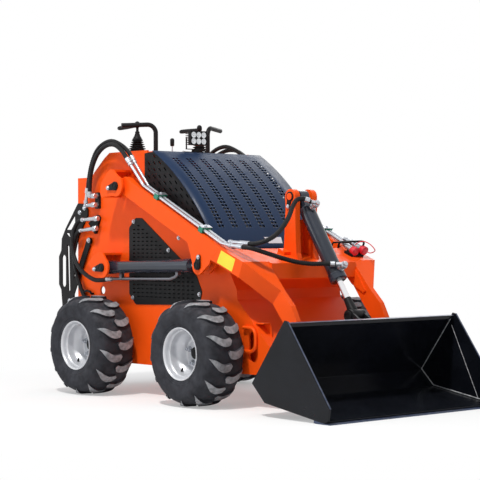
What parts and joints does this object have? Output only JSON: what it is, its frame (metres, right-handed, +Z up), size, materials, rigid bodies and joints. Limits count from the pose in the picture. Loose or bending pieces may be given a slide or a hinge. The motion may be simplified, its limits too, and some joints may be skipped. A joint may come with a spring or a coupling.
{
  "type": "stand-on mini skid steer loader",
  "caption": "Compact wheeled skid steer loader worked from behind, with two lift arms, a tilting front bucket, hydraulic cylinders and a slotted hood.",
  "frame": {"origin": "on the ground, under the middle of the machine's length and width", "axes": "+X forward over the bucket, +Y the machine's left, +Z up"},
  "size_m": [2.425, 1.247, 1.483],
  "materials": {
    "orange_paint": "gloss",
    "black_paint": "satin",
    "hood_paint": "gloss",
    "bucket_paint": "satin",
    "rim_paint": "satin",
    "tyre_rubber": "matte",
    "cylinder_paint": "gloss",
    "rod_chrome": "polished",
    "steel": "zinc plated",
    "black_plastic": "matte",
    "clamp_plastic": "matte",
    "engine_iron": "cast"
  },
  "bodies": {
    "chassis": {"belly_plate": "orange_paint", "console": "orange_paint", "engine_block": "engine_iron", "front_plate": "orange_paint", "guard_struts": "black_paint", "hand_bars": "black_paint", "hood": "hood_paint", "hood_sides": "black_paint", "hose_manifolds": "black_paint", "joysticks": "black_plastic", "lift_brackets": "orange_paint", "pin_keepers": "black_paint", "rear_guard": "black_paint", "rear_loops": "black_paint", "rear_panel": "orange_paint", "rear_step": "black_paint", "side_grilles": "black_paint", "side_plate_left": "orange_paint", "side_plate_right": "orange_paint", "throttle_lever": "black_plastic", "tie_down_rings": "orange_paint", "wheel_motors": "black_paint", "work_light": "black_paint"},
    "arms": {"rod_pin_keepers": "black_paint", "arm_right": "orange_paint", "arm_left": "orange_paint", "cross_member": "orange_paint", "tilt_mast": "orange_paint", "arm_tubes": "steel", "tube_clamps": "clamp_plastic", "quick_couplers": "steel"},
    "bucket_unit": {"bucket": "bucket_paint", "cutting_edge": "bucket_paint", "quick_attach": "orange_paint"},
    "tilt_cylinder": {"tilt_barrel": "cylinder_paint"},
    "tilt_ram": {"tilt_rod": "rod_chrome"},
    "lift_cylinder_right": {"lift_barrel_right": "cylinder_paint", "lift_feed_right": "steel"},
    "lift_ram_right": {"lift_rod_right": "rod_chrome"},
    "lift_cylinder_left": {"lift_barrel_left": "cylinder_paint", "lift_feed_left": "steel"},
    "lift_ram_left": {"lift_rod_left": "rod_chrome"},
    "wheel_front_right": {"rim_front_right": "rim_paint", "tyre_front_right": "tyre_rubber"},
    "wheel_front_left": {"rim_front_left": "rim_paint", "tyre_front_left": "tyre_rubber"},
    "wheel_rear_right": {"rim_rear_right": "rim_paint", "tyre_rear_right": "tyre_rubber"},
    "wheel_rear_left": {"rim_rear_left": "rim_paint", "tyre_rear_left": "tyre_rubber"}
  },
  "joints": [
    {"name": "arms_lift", "type": "hinge", "parent": "chassis", "child": "arms", "pos_m": [-0.5085, 0, 1.116], "axis": [0, -1, 0], "range_deg": [0, 66]},
    {"name": "bucket_tilt", "type": "hinge", "parent": "arms", "child": "bucket_unit", "pos_m": [0.6755, 0, 0.255], "axis": [0, 1, 0], "range_deg": [-25, 68]},
    {"name": "tilt_cylinder_swing", "type": "hinge", "parent": "arms", "child": "tilt_cylinder", "pos_m": [0.4075, 0, 1.046], "axis": [0, -1, 0], "range_deg": [-4, 8]},
    {"name": "tilt_ram_slide", "type": "slide", "parent": "tilt_cylinder", "child": "tilt_ram", "axis": [0.5428, 0, -0.8398], "range_m": [-0.09, 0.235]},
    {"name": "lift_cylinder_right_swing", "type": "hinge", "parent": "chassis", "child": "lift_cylinder_right", "pos_m": [-0.6345, -0.425, 0.681], "axis": [0, -1, 0], "range_deg": [0, 50]},
    {"name": "lift_ram_right_slide", "type": "slide", "parent": "lift_cylinder_right", "child": "lift_ram_right", "axis": [0.9997, 0, 0.0245], "range_m": [0, 0.38]},
    {"name": "lift_cylinder_left_swing", "type": "hinge", "parent": "chassis", "child": "lift_cylinder_left", "pos_m": [-0.6345, 0.425, 0.681], "axis": [0, -1, 0], "range_deg": [0, 50]},
    {"name": "lift_ram_left_slide", "type": "slide", "parent": "lift_cylinder_left", "child": "lift_ram_left", "axis": [0.9997, 0, 0.0245], "range_m": [0, 0.38]},
    {"name": "wheel_front_right_spin", "type": "hinge", "parent": "chassis", "child": "wheel_front_right", "pos_m": [0.1805, -0.5045, 0.265], "axis": [0, 1, 0], "continuous": true},
    {"name": "wheel_front_left_spin", "type": "hinge", "parent": "chassis", "child": "wheel_front_left", "pos_m": [0.1805, 0.5045, 0.265], "axis": [0, 1, 0], "continuous": true},
    {"name": "wheel_rear_right_spin", "type": "hinge", "parent": "chassis", "child": "wheel_rear_right", "pos_m": [-0.7095, -0.5045, 0.265], "axis": [0, 1, 0], "continuous": true},
    {"name": "wheel_rear_left_spin", "type": "hinge", "parent": "chassis", "child": "wheel_rear_left", "pos_m": [-0.7095, 0.5045, 0.265], "axis": [0, 1, 0], "continuous": true}
  ],
  "couplings": [
    {"joint": "tilt_cylinder_swing", "follows": "bucket_tilt", "ratio": 0.022},
    {"joint": "tilt_ram_slide", "follows": "bucket_tilt", "m_per_rad": 0.196},
    {"joint": "lift_cylinder_right_swing", "follows": "arms_lift", "ratio": 0.7078},
    {"joint": "lift_ram_right_slide", "follows": "arms_lift", "m_per_rad": 0.32827},
    {"joint": "lift_cylinder_left_swing", "follows": "arms_lift", "ratio": 0.7078},
    {"joint": "lift_ram_left_slide", "follows": "arms_lift", "m_per_rad": 0.32827}
  ]
}
